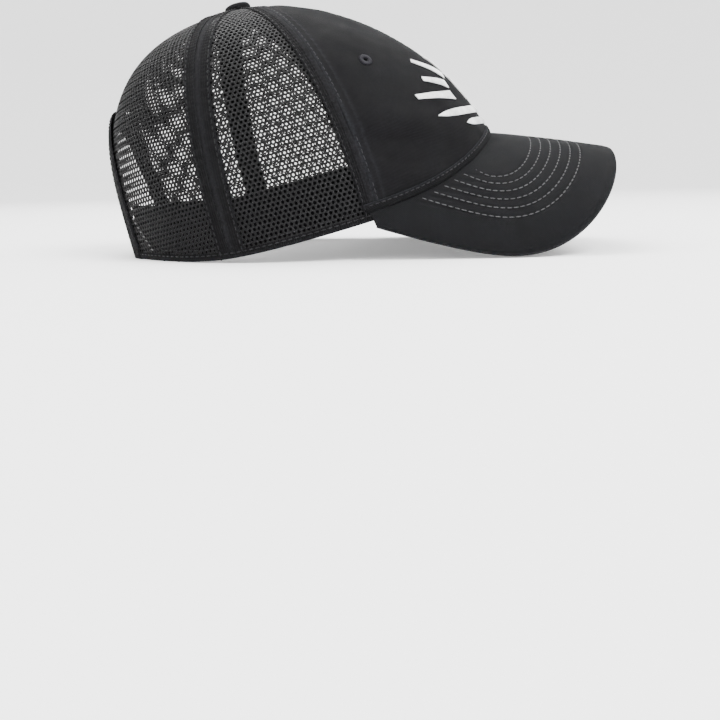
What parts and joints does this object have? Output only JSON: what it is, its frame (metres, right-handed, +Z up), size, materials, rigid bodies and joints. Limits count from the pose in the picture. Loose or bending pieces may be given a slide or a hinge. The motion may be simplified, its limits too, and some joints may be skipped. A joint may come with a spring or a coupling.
{
  "type": "mesh-back baseball cap",
  "caption": "Mesh-back baseball cap: twill front panels, net side and rear panels, curved stitched visor, top button, sweatband and a rear opening closed by a snap strap.",
  "frame": {"origin": "on the surface the cap rests on, under the centre of its overall box", "axes": "+Z up from the resting surface, -Y toward the visor's tip, -X toward the wearer's right"},
  "size_m": [0.163, 0.256, 0.1247],
  "materials": {
    "cotton_twill": "matte cotton twill, faded black",
    "polyester_net": "knitted polyester net, slight sheen",
    "seam_tape": "woven tape",
    "eyelet_thread": "embroidered thread",
    "sweatband_twill": "soft brushed twill",
    "snap_plastic": "moulded plastic",
    "visor_board_plastic": "smooth sheet",
    "button_aluminium": "plain stamped"
  },
  "bodies": {
    "cap": {"front_panel_left": "cotton_twill", "side_mesh_panel_left": "polyester_net", "rear_mesh_panel_left": "polyester_net", "front_seam_tape_left": "seam_tape", "mid_seam_tape_left": "seam_tape", "eyelet_left": "eyelet_thread", "strap_tab_left": "snap_plastic", "front_panel_right": "cotton_twill", "side_mesh_panel_right": "polyester_net", "rear_mesh_panel_right": "polyester_net", "front_seam_tape_right": "seam_tape", "mid_seam_tape_right": "seam_tape", "eyelet_right": "eyelet_thread", "strap_tab_right": "snap_plastic", "centre_seam_tape": "seam_tape", "rear_seam_tape": "seam_tape", "opening_binding": "seam_tape", "sweatband": "sweatband_twill", "visor_seam_strip": "cotton_twill", "visor_top_cover": "cotton_twill", "visor_board": "visor_board_plastic", "visor_under_cover": "cotton_twill", "button_cover": "cotton_twill", "button_shell": "button_aluminium", "button_washer": "button_aluminium"},
    "hole_strap": {"snap_strap_holes": "snap_plastic"},
    "stud_strap": {"snap_strap_studs": "snap_plastic"}
  },
  "joints": [
    {"name": "hole_strap_bend", "type": "hinge", "parent": "cap", "child": "hole_strap", "pos_m": [0.0345, 0.11525, 0.009], "axis": [0, 0, -1], "range_deg": [0, 60], "stiffness_Nm_per_rad": 0.01},
    {"name": "stud_strap_bend", "type": "hinge", "parent": "cap", "child": "stud_strap", "pos_m": [-0.034, 0.1104, 0.009], "axis": [0, 0, -1], "range_deg": [0, 25], "stiffness_Nm_per_rad": 0.01}
  ]
}
